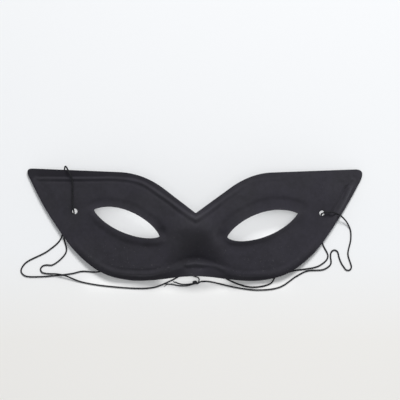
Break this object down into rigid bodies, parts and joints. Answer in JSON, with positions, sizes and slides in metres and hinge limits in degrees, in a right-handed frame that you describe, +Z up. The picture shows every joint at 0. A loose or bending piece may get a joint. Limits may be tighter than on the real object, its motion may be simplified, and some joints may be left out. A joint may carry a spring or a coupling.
{
  "type": "masquerade mask",
  "caption": "Half mask for the eyes: a thin moulded black felt shell with pointed wings, almond eye holes, a raised bead inside the edge and a knotted round elastic through both wings.",
  "frame": {"origin": "On the floor under the middle of the shell's own box, measured without the elastic.", "axes": "+X runs across to the right-hand wing tip as the mask is looked down on, +Y towards the brow, +Z up off the floor, out of the face."},
  "size_m": [0.2036, 0.0744, 0.0288],
  "materials": {
    "felt": "matt black felt pressed over a moulded core",
    "elastic": "matt black round woven elastic"
  },
  "bodies": {
    "root": {"mask_shell": "felt", "elastic_cord": "elastic", "elastic_knot": "elastic"}
  },
  "joints": []
}
